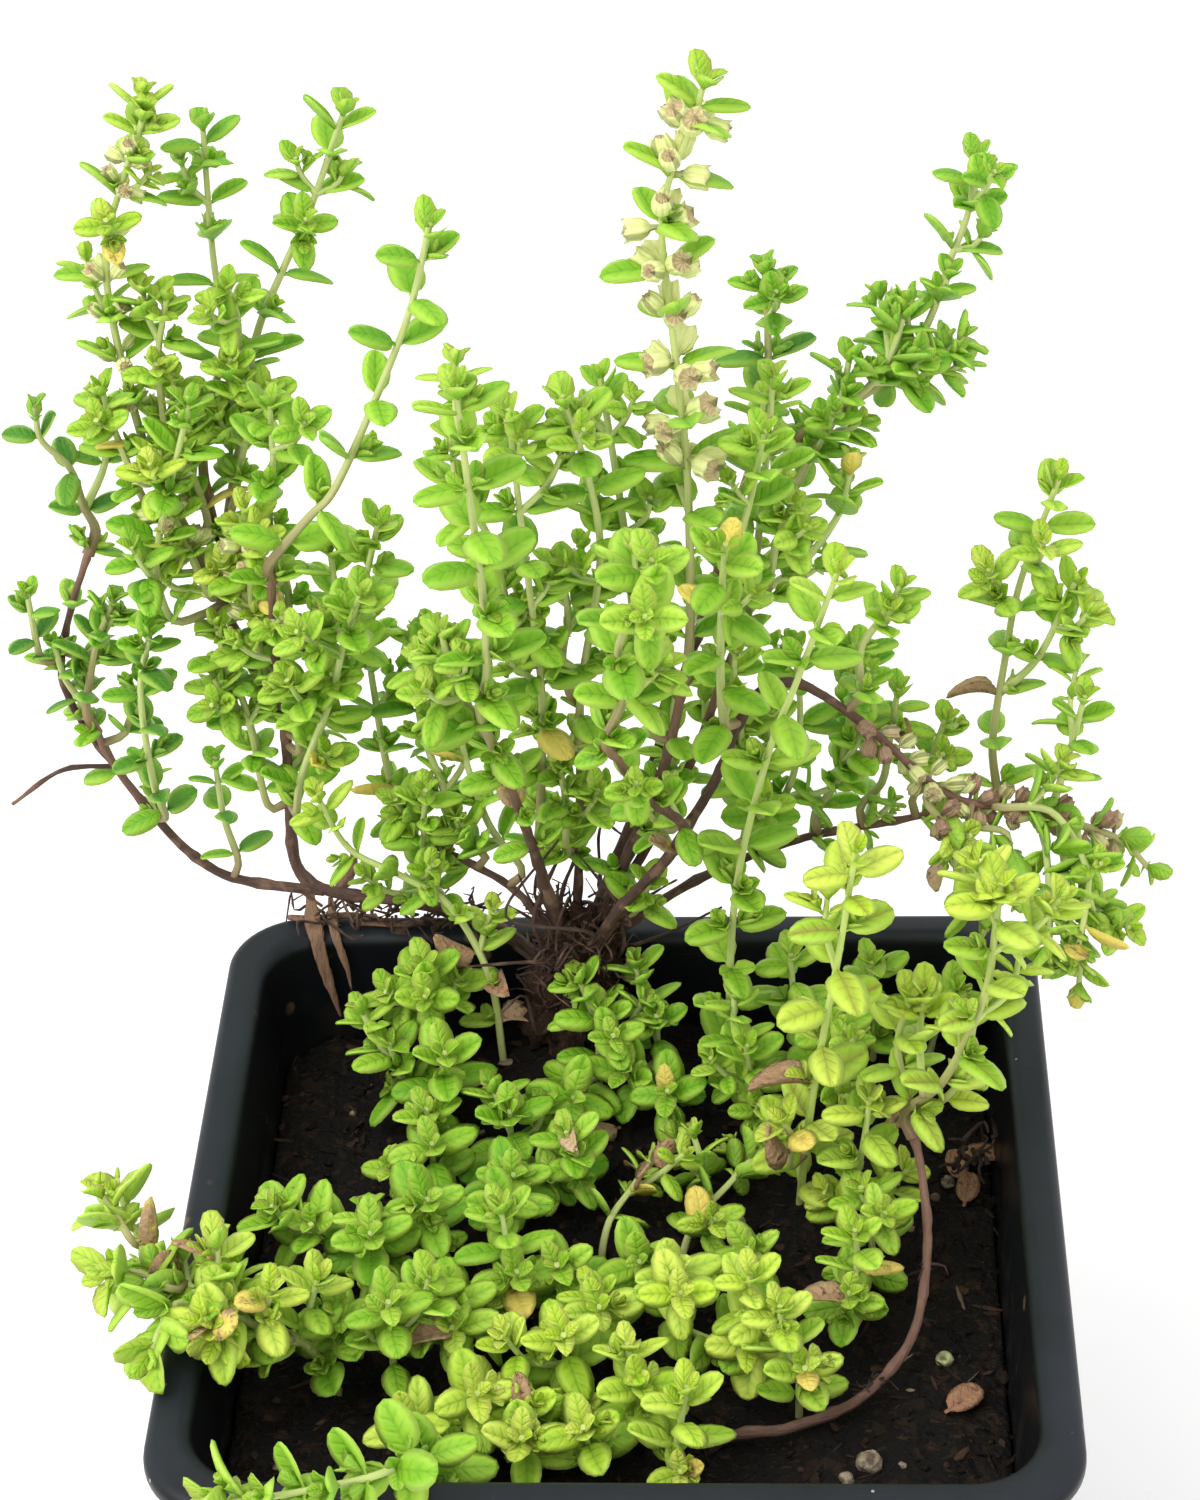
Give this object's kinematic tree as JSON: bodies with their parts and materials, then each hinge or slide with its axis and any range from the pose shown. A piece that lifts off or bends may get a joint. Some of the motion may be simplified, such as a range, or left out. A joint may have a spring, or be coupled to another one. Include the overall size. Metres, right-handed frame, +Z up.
{
  "type": "potted thyme",
  "caption": "Bushy young thyme plant with small paired leaves on woody and green stems, growing out of compost in a thin square nursery pot.",
  "frame": {"origin": "middle of the pot's flat underside", "axes": "+Z up, +X to the right and +Y to the back as the picture looks at the plant"},
  "size_m": [0.1288, 0.1265, 0.201],
  "materials": {
    "pot": "black moulded plastic with a satin sheen",
    "compost": "dark crumbly potting compost of bark and wood fibre",
    "wood": "thin brown bark",
    "shoot": "living green leaves and stems with a soft matt skin",
    "dry_leaf": "dry tan leaf"
  },
  "bodies": {
    "root": {"pot": "pot", "compost": "compost", "woody_crown": "wood", "arching_runner": "wood", "tall_flowering_shoot": "shoot", "centre_left_shoot": "shoot", "behind_left_shoot": "shoot", "centre_shoot": "shoot", "centre_back_shoot": "shoot", "front_rosette_shoot": "shoot", "long_pale_shoot": "shoot", "yellow_green_shoot": "shoot", "right_shoot": "shoot", "right_back_shoot": "shoot", "right_spray": "shoot", "right_arch_shoot": "shoot", "dry_heads": "shoot", "back_right_shoot": "shoot", "back_shoot": "shoot", "centre_right_spray": "shoot", "arch_rosette_shoot": "shoot", "left_flowering_shoot": "shoot", "left_rear_shoot": "shoot", "left_back_shoot": "shoot", "left_inner_shoot": "shoot", "left_middle_shoot": "shoot", "left_outer_shoot": "shoot", "left_fan_upper": "shoot", "left_fan_lower": "shoot", "rim_shoot": "shoot", "trailing_pale_shoot": "shoot", "far_left_shoot": "shoot", "far_left_inner_shoot": "shoot", "low_left_shoot": "shoot", "far_left_outer_shoot": "shoot", "far_left_top_shoot": "shoot", "front_centre_rosettes": "shoot", "front_middle_rosettes": "shoot", "front_low_rosette": "shoot", "front_left_rosettes": "shoot", "left_front_rosette": "shoot", "left_carpet": "shoot", "middle_left_rosettes": "shoot", "back_left_rosettes": "shoot", "back_left_tuft": "shoot", "crown_foot_rosettes": "shoot", "centre_rosettes": "shoot", "middle_rosette": "shoot", "creeping_shoot": "shoot", "creeping_runner": "shoot", "right_front_rosettes": "shoot", "right_middle_rosettes": "shoot", "right_foot_rosette": "shoot", "left_rim_spray": "shoot", "front_rim_spray": "shoot", "fallen_leaf_1": "dry_leaf", "fallen_leaf_2": "dry_leaf", "fallen_leaf_3": "dry_leaf", "fallen_leaf_4": "dry_leaf", "fallen_leaf_5": "dry_leaf"}
  },
  "joints": []
}
